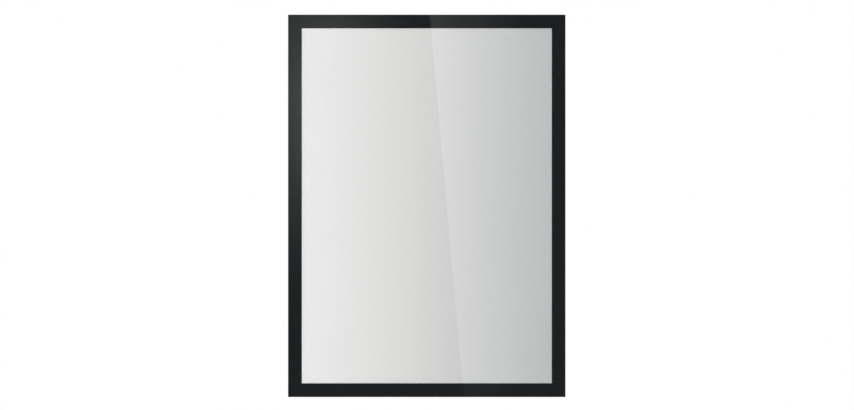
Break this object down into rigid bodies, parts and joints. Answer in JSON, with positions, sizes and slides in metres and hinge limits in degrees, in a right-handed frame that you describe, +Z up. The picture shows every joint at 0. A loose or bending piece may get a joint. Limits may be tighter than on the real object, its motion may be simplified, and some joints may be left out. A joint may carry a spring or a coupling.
{
  "type": "self-adhesive window sign frame",
  "caption": "Thin black-bordered poster frame that sticks to a window by tape strips, with a film-hinged magnetic cover over a pocket for an A3 sheet.",
  "frame": {"origin": "middle of the frame's outline, in the plane of the window that the adhesive tapes touch", "axes": "+Z up along the long side of the upright frame, +X to the right as seen from the front, +Y into the window: the front faces -Y"},
  "size_m": [0.325, 0.0021, 0.448],
  "materials": {
    "clear_back_film": "clear smooth film",
    "clear_window_film": "clear glossy film",
    "black_border_film": "black, satin gloss",
    "magnet_rubber": "matte, dark",
    "hinge_film": "black, satin",
    "adhesive_tape": "milky clear, tacky",
    "paper": "plain uncoated paper"
  },
  "bodies": {
    "back_panel": {"back_sheet": "clear_back_film", "back_magnet_top": "magnet_rubber", "back_magnet_bottom": "magnet_rubber", "back_magnet_left": "magnet_rubber", "back_magnet_right": "magnet_rubber", "adhesive_tape_top": "adhesive_tape", "adhesive_tape_bottom": "adhesive_tape", "adhesive_tape_left": "adhesive_tape", "adhesive_tape_right": "adhesive_tape", "hinge_leaf_back": "hinge_film", "insert_sheet": "paper"},
    "cover": {"window_film": "clear_window_film", "front_border": "black_border_film", "front_magnet_top": "magnet_rubber", "front_magnet_bottom": "magnet_rubber", "front_magnet_left": "magnet_rubber", "front_magnet_right": "magnet_rubber", "hinge_leaf_front": "hinge_film"}
  },
  "joints": [
    {"name": "cover_hinge", "type": "hinge", "parent": "back_panel", "child": "cover", "pos_m": [-0.1625, -0.00116, 0], "axis": [0, 0, -1], "range_deg": [0, 180]}
  ]
}
